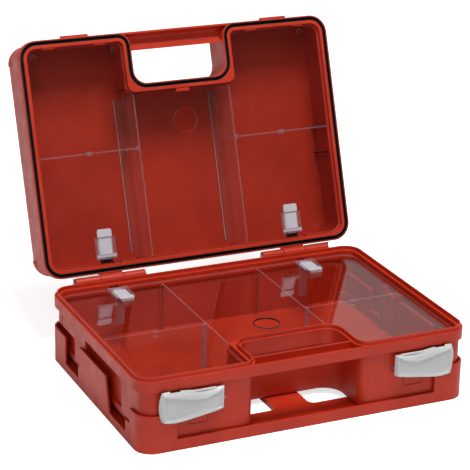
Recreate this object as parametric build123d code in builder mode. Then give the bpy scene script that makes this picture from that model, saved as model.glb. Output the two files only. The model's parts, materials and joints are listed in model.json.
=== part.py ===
from build123d import *
import os
from math import cos, radians, sin

os.makedirs("parts", exist_ok=True)

# Carry case that stands in a wall bracket, with its lid laid back on the hinge.
# X runs along the case's width, the handle and latches face -Y, the hinge is at +Y.
# The origin is in the middle of the bracket's underside. All sizes are in millimetres.

# ---- Overall case ----
case_width = 400.0
case_depth = 280.0
corner_radius = 22.0
notch_half_width = 60.0  # hand opening, half its width
notch_depth = 62.0  # from the front of the rim to the back of the hand opening
notch_mouth_radius = 16.0
notch_inner_radius = 16.0
wall = 3.0
lid_open_angle = 109.7

# ---- Heights above the wall side of the bracket ----
bracket_floor = 6.0  # thickness of the bracket's floor, the base stands on it
floor_top = 16.5  # compartment floor inside the base
belly_height = 24.0  # below this the base's sides are set further in
band_bottom = 70.0  # underside of the thick rim band
band_top = 82.4  # parting face of the base
notch_band_bottom = 65.0  # the rim band reaches lower round the hand opening
lid_gap = 0.3  # gap left between the two rims when closed
lid_depth = 55.5
lid_band_height = 9.0

# ---- Rim, tongue and seal, all measured inwards from the rim's outer edge ----
tongue_inset = 2.7
tongue_thickness = 1.8
tongue_height = 4.4
tongue_clearance = 0.6
seal_leg = 0.8
seal_floor = 1.6
seal_setback = 0.3
seal_fit = 0.05
groove_depth = 7.0
lid_lip_inset = 9.5  # inner edge of the lid's rim
side_inset = 5.0  # base wall below the band
front_inset = 2.0  # base front wall below the band
belly_inset = 12.0  # base sides below belly_height
lid_body_inset = 2.5  # lid wall above its band
lid_draft = 1.5  # degrees
join = 1.0  # how far added and cut shapes run on into their neighbours

pad_length = 24.0  # raised pads round the lid's outer corners
pad_depth = 12.0
pad_height = 1.4

# ---- Clear covers ----
cover_thickness = 2.0
cover_gap = 0.5  # play all round a cover
cover_seat_width = 2.5
cover_seat_height = 3.0
base_cover_top = 78.0
lid_cover_drop = 3.0  # lid cover below the lid's rim
cover_corner_radius = 18.0
cover_mouth_radius = 12.0
pocket_inner_radius = 10.0  # corners of the compartments beside the hand opening
cover_pivot_inset = 3.2  # pivot line behind the cover's front edge
keeper_x = (98.0, 162.0)  # keeper tabs that hold down the cover's front edge
keeper_width = 14.0
keeper_reach = 1.4
keeper_thickness = 1.8
keeper_gap = 0.3
centre_tab_width = 17.0
centre_tab_reach = 4.5

# ---- Dividers ----
divider_x = 62.5
divider_thickness = 1.6
divider_play = 0.3
divider_end_play = 0.4
lid_end_play = 1.6  # more play at the lid's drafted walls
cross_divider_y = -2.0
spare_slot_y = 30.0
rib_width = 1.6
base_rib_reach = 3.5
lid_rib_reach = 6.0
divider_rib_reach = 3.0
nub_width = 6.0
nub_height = 1.6

# ---- Finger hole in the middle of each cover ----
finger_hole_y = -29.0
finger_hole_radius = 15.3

# ---- Slide bolts on the covers ----
bolt_x = 122.0
bolt_front_y = 88.0
bolt_width = 18.5
bolt_body_width = 15.5
bolt_length = 30.0
bolt_height = 2.2
bolt_flange = 1.0
bolt_head_width = 18.0
bolt_head_length = 9.5
bolt_head_rise = 0.4  # underside of the thumb head above the bolt's body
bolt_head_thickness = 0.8
bolt_head_radius = 3.0
bolt_nose_width = 10.0
bolt_nose_length = 6.0
bolt_nose_thickness = 1.6
bolt_play = 0.3
bolt_slot_depth = 2.8
guide_lip = 1.0
guide_wall = 3.0
guide_start_gap = 0.5  # between the thumb head and the rails
bridge_length = 6.0  # bridge over the bolt's nose
bridge_thickness = 1.0
cover_cut_width = 12.0  # cut in the cover's back edge under the bolt's nose
recess_width = 38.0
tongue_leg_x = 120.0  # clear legs under the base's cover
tongue_leg_y = 119.0
tongue_leg_width = 10.5
tongue_leg_thickness = 1.2
tongue_leg_bottom = 36.0

# ---- Hinges ----
hinge_y = 147.4
hinge_z = 83.2
knuckle_radius = 6.0
pin_radius = 2.0
pin_clearance = 0.06
pin_end = 0.6
pin_leg_radius = 1.0
pin_leg_offset = 6.1
pin_leg_play = 0.15
hinge_inner_x = 77.5
hinge_outer_x = 165.5
lid_knuckle_inner_x = 105.3
lid_knuckle_outer_x = 134.2
knuckle_gap = 0.6

# ---- Latches ----
latch_axis_y = -142.1
latch_axis_z = 63.6
latch_throw = 10.4  # length of the link, the lever rises by twice this
latch_pin_radius = 1.0
latch_eye_radius = 1.8
latch_pin_clearance = 0.05
latch_pin_nub_x = 100.4
latch_pin_end = 0.6
link_inner_x = 115.3
link_outer_x = 142.7
link_thickness = 2.6
ear_width = 3.0
ear_gap = 0.3
lever_back_y = -143.2
lever_depth = 4.0
lever_shoulder = 0.75  # how far forward the top face bends down to its crest
lever_shoulder_drop = 0.6
lever_dish = 1.5
lever_pocket_depth = 1.1  # room behind the lever for the eyes of its link
lever_pocket_play = 0.6
lever_bulge = 3.6  # the outer end is rounded by this much
lever_taper = 1.7  # each end of the crest lies this far in
lever_rim = 1.2
lever_dish_slope = 1.6
lever_x = (103.5, 116.0, 128.0, 142.0, 158.0, 175.0)
lever_top = (67.8, 67.1, 67.0, 68.8, 70.5, 70.4)
lever_crest = (66.6, 60.8, 58.5, 59.6, 63.2, 66.6)
lever_crease = (44.8, 45.0, 44.6, 41.8, 38.9, 39.8)
lever_bottom = (43.4, 40.6, 38.8, 36.8, 35.0, 36.6)
lever_notch_x = (154.0, 166.0)
lever_notch_depth = 1.6
lever_notch_bottom = 68.8
hook_reach = 2.2
hook_thickness = 1.3
hook_bottom = 65.8
strike_reach = 2.6
strike_height = 3.0
strike_play = 0.6

bead_x = (118.5, 142.5)  # raised bead frame on the base behind each latch
bead_z = (25.0, 45.0)
bead_width = 1.2
bead_height = 0.8

# ---- Handle bars ----
bar_depth = 22.0
bar_wall = 2.5
base_bar_radius = 3.0
lid_bar_depth = 14.5
lid_bar_radius = 9.0
lid_bar_step = 1.3  # the lid bar's inner wall stops this far inside the rim

# ---- Sides of the base ----
pocket_front_y = -78.0
pocket_back_y = 34.0
pocket_top = 62.0
pocket_depth = 6.0
rear_recess_y = 68.0
rear_recess_top = 50.0
finger_groove_y = 110.0
finger_groove_width = 2.4
finger_groove_depth = 1.2
foot_radius = 4.0
foot_width = 6.5
belly_corner_radius = 15.0

# ---- Wall bracket ----
bracket_half_width = 198.6
bracket_half_depth = 142.6
bracket_radius = 20.0
bracket_wall = 2.5
bracket_post_height = 43.0
bracket_bar_height = 13.0
bracket_side_rail = 10.0
bracket_front_post_y = 98.0
bracket_back_post_y = 91.0
bracket_post_wrap_x = 156.5
bracket_tab_top = 50.0
bracket_tab_front = -38.0
bracket_tab_back = 45.0
bracket_border = 40.0  # floor frame's bars along the front and back
bracket_side_bar = 18.0
strap_half_width = 21.0
screw_x = 120.0
screw_y = 122.0
screw_radius = 2.75
screw_head_radius = 5.2
bracket_window_radius = 8.0
bracket_foot_step = 11.5
bracket_foot_height = 24.6
bracket_tab_foot = 3.0


def rim_line(inset, front=None, corner=None, mouth=None, inner=None, side=None):
    """Closed line that follows the rim and its hand notch, set inwards by inset."""
    side = inset if side is None else side
    front = inset if front is None else front
    half_width = case_width / 2 - side
    y_back = case_depth / 2 - inset
    y_front = -case_depth / 2 + front
    y_notch = -case_depth / 2 + notch_depth + inset
    x_notch = notch_half_width + inset
    outer = corner_radius - inset if corner is None else corner
    mouth = notch_mouth_radius - inset if mouth is None else mouth
    inner = notch_inner_radius + inset if inner is None else inner
    with BuildLine() as line:
        FilletPolyline(
            (half_width, y_back),
            (-half_width, y_back),
            (-half_width, y_front),
            (-x_notch, y_front),
            (-x_notch, y_notch),
            (x_notch, y_notch),
            (x_notch, y_front),
            (half_width, y_front),
            radius=[outer, outer, outer, mouth, inner, inner, mouth, outer],
            close=True,
        )
    return line.edges()


# ---- Places worked out from the sizes above ----
cavity_inset = side_inset + wall
base_bottom = bracket_floor
floor_bottom = floor_top - wall
belly_cavity_inset = belly_inset + wall
seat_top = base_cover_top - cover_thickness
seat_bottom = seat_top - cover_seat_height
lid_rim = band_top + lid_gap
lid_top = lid_rim + lid_depth
lid_band_top = lid_rim + lid_band_height
lid_cover_bottom = lid_rim + lid_cover_drop
lid_seat = lid_cover_bottom + cover_thickness
lid_cavity_start = lid_rim + groove_depth + wall
lid_cavity_inset = lid_body_inset + wall
lid_floor = lid_top - wall
groove_outer = tongue_inset - tongue_clearance - seal_leg
groove_inner = tongue_inset + tongue_thickness + tongue_clearance + seal_leg
rim_half_width = case_width / 2
rim_half_depth = case_depth / 2
notch_back_y = -rim_half_depth + notch_depth
bar_half_width = notch_half_width + notch_mouth_radius
bar_centre_y = -rim_half_depth + bar_depth / 2
lift = 2 * latch_throw
strike_top = hook_bottom + lift - strike_play
strike_inner_x = link_inner_x - ear_gap - ear_width
strike_outer_x = link_outer_x + ear_gap + ear_width
hinge_axis = Axis((0, hinge_y, hinge_z), (1, 0, 0))
sides = (("left", -1), ("right", 1))


def block(x, y, z, mode=Mode.ADD):
    """Box between pairs of limits along X, Y and Z."""
    with Locations((sum(x) / 2, sum(y) / 2, sum(z) / 2)):
        Box(abs(x[1] - x[0]), abs(y[1] - y[0]), abs(z[1] - z[0]), mode=mode)


def rod(radius, x, y, z, mode=Mode.ADD):
    """Cylinder along X between two limits."""
    with Locations((sum(x) / 2, y, z)):
        Cylinder(radius, abs(x[1] - x[0]), rotation=(0, 90, 0), mode=mode)


def lever_curve(heights, inset, drop=0.0):
    """Points along one of a lever's long curves, lowered by drop and with its ends drawn in by inset."""
    middle = (lever_x[0] + lever_x[-1]) / 2
    share = 1 - 2 * inset / (lever_x[-1] - lever_x[0])
    return [(middle + (x - middle) * share, z - drop) for x, z in zip(lever_x, heights)]


def lever_section(sign, upper, lower, bulge):
    """Outline of a latch lever seen from the front, between two long curves, with a rounded outer end."""
    with BuildLine() as line:
        top = Spline(*[(sign * x, z) for x, z in upper])
        bottom = Spline(*[(sign * x, z) for x, z in lower])
        Line(bottom @ 0, top @ 0)
        furthest = (sign * (lower[-1][0] + bulge), (lower[-1][1] + upper[-1][1]) / 2)
        ThreePointArc(bottom @ 1, furthest, top @ 1)
    return line.edges()


def both(sign, limits):
    """Limits along X on the left or the right of the case."""
    return [sign * limit for limit in limits]


def holder_ribs(wall_x, reach, z):
    """Pairs of ribs on both side walls that hold the ends of the cross dividers."""
    offset = divider_thickness / 2 + divider_play + rib_width / 2
    rib_y = [slot_y + sign * offset for slot_y in (cross_divider_y, spare_slot_y) for sign in (-1, 1)]
    rib_x = wall_x - reach / 2
    with Locations([(sign * rib_x, y, sum(z) / 2) for y in rib_y for sign in (-1, 1)]):
        Box(reach, rib_width, z[1] - z[0])


def end_ribs(walls_y, reach, z):
    """Pairs of ribs on the front and back of the middle compartment for the long dividers."""
    offset = divider_thickness / 2 + divider_play + rib_width / 2
    rib_x = [sign * divider_x + pair * offset for sign in (-1, 1) for pair in (-1, 1)]
    rib_y = (walls_y[0] + reach / 2, walls_y[1] - reach / 2)
    with Locations([(x, y, sum(z) / 2) for x in rib_x for y in rib_y]):
        Box(rib_width, reach, z[1] - z[0])


def keeper_tabs(wall_inset, z):
    """Tabs over a cover: two on each front lobe and one at the hand opening."""
    reach = cover_gap + keeper_reach
    tab_y = -rim_half_depth + wall_inset + reach / 2
    with Locations([(sign * x, tab_y, sum(z) / 2) for x in keeper_x for sign in (-1, 1)]):
        Box(keeper_width, reach, keeper_thickness)
    centre_y = notch_back_y + wall_inset + centre_tab_reach / 2
    with Locations((0, centre_y, sum(z) / 2)):
        Box(centre_tab_width, centre_tab_reach, keeper_thickness)


def bolt_slots(wall_inset, z):
    """Slots in the back of the rim for the noses of the slide bolts."""
    slot_y = rim_half_depth - wall_inset + bolt_slot_depth / 2
    with Locations([(sign * bolt_x, slot_y, sum(z) / 2) for sign in (-1, 1)]):
        Box(bolt_nose_width + 2 * bolt_play, bolt_slot_depth, z[1] - z[0], mode=Mode.SUBTRACT)


# ---- Base shell: belly, walls, rim band with its tongue, handle channel ----
with BuildPart() as base_shell:
    # Handle channel across the hand opening
    with BuildSketch(Plane.YZ.offset(-bar_half_width)):
        with Locations((bar_centre_y, (band_bottom + band_top) / 2)):
            Rectangle(bar_depth, band_top - band_bottom)
        with Locations((bar_centre_y, band_top)):
            hollow_height = 2 * (band_top - band_bottom - bar_wall)
            RectangleRounded(bar_depth - 2 * bar_wall, hollow_height, base_bar_radius, mode=Mode.SUBTRACT)
    extrude(amount=2 * bar_half_width)

    # Belly, walls and rim band
    with BuildSketch(Plane.XY.offset(base_bottom)):
        make_face(rim_line(side_inset, front=front_inset, side=belly_inset, corner=belly_corner_radius))
    extrude(amount=belly_height - base_bottom)
    fillet(base_shell.edges().group_by(Axis.Z)[0], radius=foot_radius)
    with BuildSketch(Plane.XY.offset(belly_height)):
        make_face(rim_line(side_inset, front=front_inset))
    extrude(amount=band_bottom - belly_height)
    with BuildSketch(Plane.XY.offset(band_bottom)):
        make_face(rim_line(0))
    extrude(amount=band_top - band_bottom)
    with BuildSketch(Plane.XY.offset(notch_band_bottom)):
        make_face(rim_line(0))
        with Locations((0, bar_centre_y + bar_depth / 2)):
            beside_notch = side_inset + join
            around_notch = (2 * (notch_half_width + beside_notch), notch_depth - bar_depth + beside_notch)
            Rectangle(*around_notch, align=(Align.CENTER, Align.MIN), mode=Mode.INTERSECT)
    extrude(amount=band_bottom - notch_band_bottom)

    # Foot skirt, then the compartments above the floor
    with BuildSketch(Plane.XY.offset(base_bottom)):
        make_face(rim_line(side_inset + foot_width, side=belly_inset + foot_width, corner=wall))
    extrude(amount=floor_bottom - base_bottom, mode=Mode.SUBTRACT)
    cavity_front = front_inset + wall
    with BuildSketch(Plane.XY.offset(floor_top)):
        make_face(rim_line(cavity_inset, cavity_front, side=belly_cavity_inset, inner=pocket_inner_radius))
    extrude(amount=belly_height + wall - floor_top, mode=Mode.SUBTRACT)
    with BuildSketch(Plane.XY.offset(belly_height + wall)):
        make_face(rim_line(cavity_inset, cavity_front, inner=pocket_inner_radius))
    extrude(amount=seat_bottom - belly_height - wall, mode=Mode.SUBTRACT)

    # Seat of the cover, relieved where the cover's front edge dips as it opens
    seat_inset = cavity_inset + cover_seat_width
    with BuildSketch(Plane.XY.offset(seat_bottom)):
        make_face(rim_line(seat_inset, inner=pocket_inner_radius))
    extrude(amount=seat_top - seat_bottom, mode=Mode.SUBTRACT)
    pivot_y = -rim_half_depth + cavity_inset + cover_gap + cover_pivot_inset
    with BuildSketch(Plane.XY.offset(seat_bottom)):
        make_face(rim_line(cavity_inset, inner=pocket_inner_radius))
        with Locations((0, (pivot_y + cover_gap + rim_half_depth) / 2)):
            Rectangle(case_width, rim_half_depth - pivot_y - cover_gap, mode=Mode.SUBTRACT)
    extrude(amount=seat_top - seat_bottom, mode=Mode.SUBTRACT)
    with BuildSketch(Plane.XY.offset(seat_top)):
        make_face(rim_line(cavity_inset, inner=pocket_inner_radius))
    extrude(amount=band_top - seat_top, mode=Mode.SUBTRACT)

    # Tongue that presses into the lid's seal
    with BuildSketch(Plane.XY.offset(band_top)):
        make_face(rim_line(tongue_inset))
        make_face(rim_line(tongue_inset + tongue_thickness), mode=Mode.SUBTRACT)
    extrude(amount=tongue_height)

    # Ribs for the dividers
    wall_x = rim_half_width - side_inset
    rib_z = (floor_top, seat_bottom)
    holder_ribs(wall_x - wall, base_rib_reach + pocket_depth, rib_z)
    back_wall_y = rim_half_depth - cavity_inset
    end_ribs((notch_back_y + cavity_inset, back_wall_y), base_rib_reach, rib_z)

    # Pockets in the sides, with the wall carried round behind them
    for side, sign in sides:
        pocket = (pocket_front_y, pocket_back_y)
        lined = (pocket_front_y - wall, pocket_back_y + wall)
        inner_x = both(sign, (wall_x - wall - cover_gap, wall_x - pocket_depth - wall))
        block(inner_x, lined, (floor_top, pocket_top + wall))
        lined_rear = (rear_recess_y - wall, rim_half_depth - cavity_inset)
        block(inner_x, lined_rear, (floor_top, rear_recess_top + wall))
        outer_x = both(sign, (wall_x + join, wall_x - pocket_depth))
        block(outer_x, pocket, (belly_height, pocket_top), mode=Mode.SUBTRACT)
        block(outer_x, (rear_recess_y, rim_half_depth), (belly_height, rear_recess_top), mode=Mode.SUBTRACT)
        groove_x = both(sign, (wall_x + join, wall_x - finger_groove_depth))
        groove_y = (finger_groove_y - finger_groove_width / 2, finger_groove_y + finger_groove_width / 2)
        block(groove_x, groove_y, (rear_recess_top, pocket_top), mode=Mode.SUBTRACT)

    # Tabs over the cover, slots for the slide bolts
    tab_bottom = base_cover_top + keeper_gap
    keeper_tabs(cavity_inset, (tab_bottom, tab_bottom + keeper_thickness))
    bolt_slots(cavity_inset, (base_cover_top - bolt_play, base_cover_top + bolt_nose_thickness + bolt_play))

    # Hinge knuckles, two on each side, the outer one grooved for the pin's leg
    lid_knuckle = (lid_knuckle_inner_x, lid_knuckle_outer_x)
    base_knuckles = (
        (hinge_inner_x, lid_knuckle_inner_x - knuckle_gap),
        (lid_knuckle_outer_x + knuckle_gap, hinge_outer_x),
    )
    for side, sign in sides:
        for knuckle in base_knuckles:
            knuckle_x = both(sign, knuckle)
            rod(knuckle_radius, knuckle_x, hinge_y, hinge_z)
            root_z = (hinge_z - knuckle_radius, band_top - join)
            block(knuckle_x, (rim_half_depth - join, hinge_y), root_z)
        whole_x = both(sign, (hinge_inner_x - join, hinge_outer_x + join))
        rod(pin_radius + pin_clearance, whole_x, hinge_y, hinge_z, mode=Mode.SUBTRACT)
        leg_x = both(sign, (lid_knuckle_outer_x, hinge_outer_x + join))
        leg_z = hinge_z + pin_leg_offset
        rod(pin_leg_radius + pin_leg_play, leg_x, hinge_y, leg_z, mode=Mode.SUBTRACT)

    # Raised bead frames behind the latches
    with BuildSketch(Plane.XZ.offset(rim_half_depth - front_inset)):
        bead_size = (bead_x[1] - bead_x[0], bead_z[1] - bead_z[0])
        with Locations([(sign * sum(bead_x) / 2, sum(bead_z) / 2) for sign in (-1, 1)]):
            Rectangle(*bead_size)
            Rectangle(bead_size[0] - 2 * bead_width, bead_size[1] - 2 * bead_width, mode=Mode.SUBTRACT)
    extrude(amount=bead_height)

    # Ears that carry the latches
    ears = (
        (link_inner_x - ear_gap - ear_width, link_inner_x - ear_gap),
        (link_outer_x + ear_gap, link_outer_x + ear_gap + ear_width),
    )
    block_front_y = -rim_half_depth + front_inset
    for side, sign in sides:
        for ear in ears:
            ear_x = both(sign, ear)
            rod(latch_eye_radius, ear_x, latch_axis_y, latch_axis_z)
            ear_z = (latch_axis_z - latch_eye_radius, latch_axis_z + latch_eye_radius)
            block(ear_x, (latch_axis_y, block_front_y + join), ear_z)
        pin_x = both(sign, (ears[0][0] - join, ears[1][1] + join))
        bore = latch_pin_radius + latch_pin_clearance
        rod(bore, pin_x, latch_axis_y, latch_axis_z, mode=Mode.SUBTRACT)
base_shell.part.label = "base_shell"
export_step(base_shell.part, "parts/base_shell.step")

# ---- Lid shell, built closed on the base and then swung back ----
with BuildPart() as lid_shell:
    # Handle trough across the hand opening, its inner wall a little lower
    with BuildSketch(Plane.YZ.offset(-bar_half_width)):
        with Locations((bar_centre_y, lid_rim)):
            RectangleRounded(bar_depth, 2 * lid_bar_depth, lid_bar_radius)
            hollow = bar_depth - 2 * bar_wall
            hollow_radius = lid_bar_radius - bar_wall
            RectangleRounded(hollow, 2 * (lid_bar_depth - bar_wall), hollow_radius, mode=Mode.SUBTRACT)
            Rectangle(bar_depth, 2 * lid_bar_depth, align=(Align.CENTER, Align.MAX), mode=Mode.SUBTRACT)
        with Locations((bar_centre_y + bar_depth / 2, lid_rim)):
            Rectangle(2 * (bar_wall + join), 2 * lid_bar_step, mode=Mode.SUBTRACT)
    extrude(amount=2 * bar_half_width)

    # Band and drafted walls
    with BuildSketch(Plane.XY.offset(lid_rim)):
        make_face(rim_line(0))
    extrude(amount=lid_band_height)
    with BuildSketch(Plane.XY.offset(lid_band_top)):
        make_face(rim_line(lid_body_inset))
    extrude(amount=lid_top - lid_band_top, taper=lid_draft)
    fillet(lid_shell.edges().group_by(Axis.Z)[-1], radius=foot_radius)

    # Pads round the corners
    with BuildSketch(Plane.XY.offset(lid_top - pad_depth)):
        pad_inset = lid_body_inset + (lid_depth - lid_band_height) * sin(radians(lid_draft)) - pad_height
        pad_size = (2 * (rim_half_width - pad_inset), 2 * (rim_half_depth - pad_inset))
        RectangleRounded(*pad_size, corner_radius)
        Rectangle(2 * (rim_half_width - pad_length), case_depth, mode=Mode.SUBTRACT)
        Rectangle(case_width, 2 * (rim_half_depth - pad_length), mode=Mode.SUBTRACT)
    extrude(amount=pad_depth - foot_radius)

    # Opening in the rim, seat of the cover and compartments
    with BuildSketch(Plane.XY.offset(lid_rim)):
        make_face(rim_line(lid_lip_inset, inner=pocket_inner_radius))
    extrude(amount=lid_seat - lid_rim, mode=Mode.SUBTRACT)
    lid_seat_inset = lid_lip_inset + cover_seat_width
    with BuildSketch(Plane.XY.offset(lid_seat)):
        make_face(rim_line(lid_seat_inset, inner=pocket_inner_radius))
    extrude(amount=lid_cavity_start - lid_seat, mode=Mode.SUBTRACT)
    with BuildSketch(Plane.XY.offset(lid_cavity_start)):
        make_face(rim_line(lid_cavity_inset, inner=pocket_inner_radius))
    extrude(amount=lid_floor - lid_cavity_start, taper=lid_draft, mode=Mode.SUBTRACT)
    lid_pivot_y = -rim_half_depth + lid_lip_inset + cover_gap + cover_pivot_inset
    with BuildSketch(Plane.XY.offset(lid_seat)):
        make_face(rim_line(lid_lip_inset, inner=pocket_inner_radius))
        with Locations((0, (lid_pivot_y + cover_gap + rim_half_depth) / 2)):
            Rectangle(case_width, rim_half_depth - lid_pivot_y - cover_gap, mode=Mode.SUBTRACT)
    extrude(amount=cover_seat_height, mode=Mode.SUBTRACT)

    # Groove for the seal
    with BuildSketch(Plane.XY.offset(lid_rim)):
        make_face(rim_line(groove_outer))
        make_face(rim_line(groove_inner), mode=Mode.SUBTRACT)
    extrude(amount=groove_depth, mode=Mode.SUBTRACT)

    # Ribs for the dividers, tabs over the cover, slots and recesses for the slide bolts
    rib_z = (lid_cavity_start, lid_floor)
    holder_ribs(rim_half_width - lid_cavity_inset, lid_rib_reach, rib_z)
    front_rib_y = notch_back_y + lid_cavity_inset
    end_ribs((front_rib_y, rim_half_depth - lid_cavity_inset), lid_rib_reach, rib_z)
    tab_top = lid_cover_bottom - keeper_gap
    keeper_tabs(lid_lip_inset, (tab_top - keeper_thickness, tab_top))
    nose_bottom = lid_cover_bottom - bolt_nose_thickness - bolt_play
    bolt_slots(lid_lip_inset, (nose_bottom, lid_cover_bottom + bolt_play))
    recess_y = rim_half_depth - lid_lip_inset - cover_seat_width / 2
    with Locations([(sign * bolt_x, recess_y, (lid_seat + lid_cavity_start) / 2) for sign in (-1, 1)]):
        Box(recess_width, cover_seat_width, lid_cavity_start - lid_seat, mode=Mode.SUBTRACT)

    # Hinge knuckles
    for side, sign in sides:
        knuckle_x = both(sign, (lid_knuckle_inner_x, lid_knuckle_outer_x))
        rod(knuckle_radius, knuckle_x, hinge_y, hinge_z)
        block(knuckle_x, (rim_half_depth - join, hinge_y), (hinge_z, hinge_z + knuckle_radius))
        bore_x = both(sign, (lid_knuckle_inner_x - join, lid_knuckle_outer_x + join))
        rod(pin_radius + pin_clearance, bore_x, hinge_y, hinge_z, mode=Mode.SUBTRACT)

    # Strikes that the latch hooks catch
    for side, sign in sides:
        strike_x = both(sign, (strike_inner_x, strike_outer_x))
        strike_y = (-rim_half_depth - strike_reach, -rim_half_depth + groove_outer / 2)
        block(strike_x, strike_y, (strike_top - strike_height, strike_top))
lid_shell.part = lid_shell.part.rotate(hinge_axis, -lid_open_angle)
lid_shell.part.label = "lid_shell"
export_step(lid_shell.part, "parts/lid_shell.step")

# ---- Seal, a channel of soft rubber pressed into the lid's groove ----
with BuildPart() as lid_seal:
    seal_bottom = lid_rim + seal_setback
    with BuildSketch(Plane.XY.offset(seal_bottom)):
        make_face(rim_line(groove_outer + seal_fit))
        make_face(rim_line(groove_inner - seal_fit), mode=Mode.SUBTRACT)
    extrude(amount=lid_rim + groove_depth - seal_bottom)
    with BuildSketch(Plane.XY.offset(seal_bottom)):
        make_face(rim_line(groove_outer + seal_leg))
        make_face(rim_line(groove_inner - seal_leg), mode=Mode.SUBTRACT)
    extrude(amount=lid_rim + groove_depth - seal_floor - seal_bottom, mode=Mode.SUBTRACT)
lid_seal.part = lid_seal.part.rotate(hinge_axis, -lid_open_angle)
lid_seal.part.label = "lid_seal"
export_step(lid_seal.part, "parts/lid_seal.step")


def slot_ribs(centre_x, sign, z):
    """Pair of ribs on a long divider's outer face that hold a cross divider's inner end."""
    offset = divider_thickness / 2 + divider_play + rib_width / 2
    rib_x = centre_x + sign * (divider_thickness + divider_rib_reach) / 2
    with Locations([(rib_x, cross_divider_y + pair * offset, sum(z) / 2) for pair in (-1, 1)]):
        Box(divider_rib_reach, rib_width, z[1] - z[0])


# ---- Clear dividers of the base ----
base_divider_top = seat_top - divider_play
for side, sign in sides:
    with BuildPart() as base_divider:
        long_x = sign * divider_x
        thickness = (long_x - divider_thickness / 2, long_x + divider_thickness / 2)
        long_y = (notch_back_y + cavity_inset + divider_end_play, back_wall_y - divider_end_play)
        seat_y = (long_y[0] + cover_seat_width, long_y[1] - cover_seat_width)
        block(thickness, long_y, (floor_top, seat_bottom - divider_play))
        block(thickness, seat_y, (floor_top, base_divider_top))
        slot_ribs(long_x, sign, (floor_top, base_divider_top))
    base_divider.part.label = f"base_divider_{side}"
    export_step(base_divider.part, f"parts/base_divider_{side}.step")

    with BuildPart() as base_cross_divider:
        cross_y = (cross_divider_y - divider_thickness / 2, cross_divider_y + divider_thickness / 2)
        inner_x = divider_x + divider_thickness / 2 + divider_end_play
        belly_x = rim_half_width - belly_cavity_inset - divider_end_play
        block(both(sign, (inner_x, belly_x)), cross_y, (floor_top, base_divider_top))
        centre_x = sign * (inner_x + belly_x) / 2
        nub_x = (centre_x - nub_width / 2, centre_x + nub_width / 2)
        nub_y = (cross_y[0] - nub_height, cross_y[1] + nub_height)
        block(nub_x, nub_y, (base_divider_top - nub_width, base_divider_top))
    base_cross_divider.part.label = f"base_cross_divider_{side}"
    export_step(base_cross_divider.part, f"parts/base_cross_divider_{side}.step")

# ---- Clear dividers of the lid ----
lid_divider_bottom = lid_seat + divider_play
for side, sign in sides:
    with BuildPart() as lid_divider:
        long_x = sign * divider_x
        thickness = (long_x - divider_thickness / 2, long_x + divider_thickness / 2)
        near_y = notch_back_y + lid_seat_inset + divider_end_play
        far_y = rim_half_depth - lid_seat_inset - divider_end_play
        block(thickness, (near_y, far_y), (lid_divider_bottom, lid_floor))
        deeper = lid_seat_inset - lid_cavity_inset - lid_end_play
        deep_z = (lid_cavity_start + divider_play, lid_floor)
        block(thickness, (near_y - deeper, far_y + deeper), deep_z)
        slot_ribs(long_x, sign, (lid_divider_bottom, lid_floor))
    lid_divider.part = lid_divider.part.rotate(hinge_axis, -lid_open_angle)
    lid_divider.part.label = f"lid_divider_{side}"
    export_step(lid_divider.part, f"parts/lid_divider_{side}.step")

    with BuildPart() as lid_cross_divider:
        seat_x = rim_half_width - lid_seat_inset - divider_end_play
        block(both(sign, (inner_x, seat_x)), cross_y, (lid_divider_bottom, lid_floor))
        block(both(sign, (inner_x, seat_x + deeper)), cross_y, deep_z)
        centre_x = sign * (inner_x + seat_x) / 2
        nub_x = (centre_x - nub_width / 2, centre_x + nub_width / 2)
        block(nub_x, nub_y, (lid_divider_bottom, lid_divider_bottom + nub_width))
    lid_cross_divider.part = lid_cross_divider.part.rotate(hinge_axis, -lid_open_angle)
    lid_cross_divider.part.label = f"lid_cross_divider_{side}"
    export_step(lid_cross_divider.part, f"parts/lid_cross_divider_{side}.step")


def cover_plate(bottom, inset):
    """Clear plate with an outline a little inside its pocket, a finger hole and a cut for the centre tab."""
    outline = rim_line(
        inset,
        corner=cover_corner_radius,
        mouth=cover_mouth_radius,
        inner=pocket_inner_radius + cover_gap,
    )
    with BuildSketch(Plane.XY.offset(bottom)) as plate:
        make_face(outline)
        with Locations((0, notch_back_y + inset + centre_tab_reach / 2)):
            Rectangle(centre_tab_width + 2 * cover_gap, centre_tab_reach + 2 * cover_gap, mode=Mode.SUBTRACT)
        with Locations((0, finger_hole_y)):
            Circle(finger_hole_radius, mode=Mode.SUBTRACT)
    extrude(plate.sketch, amount=cover_thickness)


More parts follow.
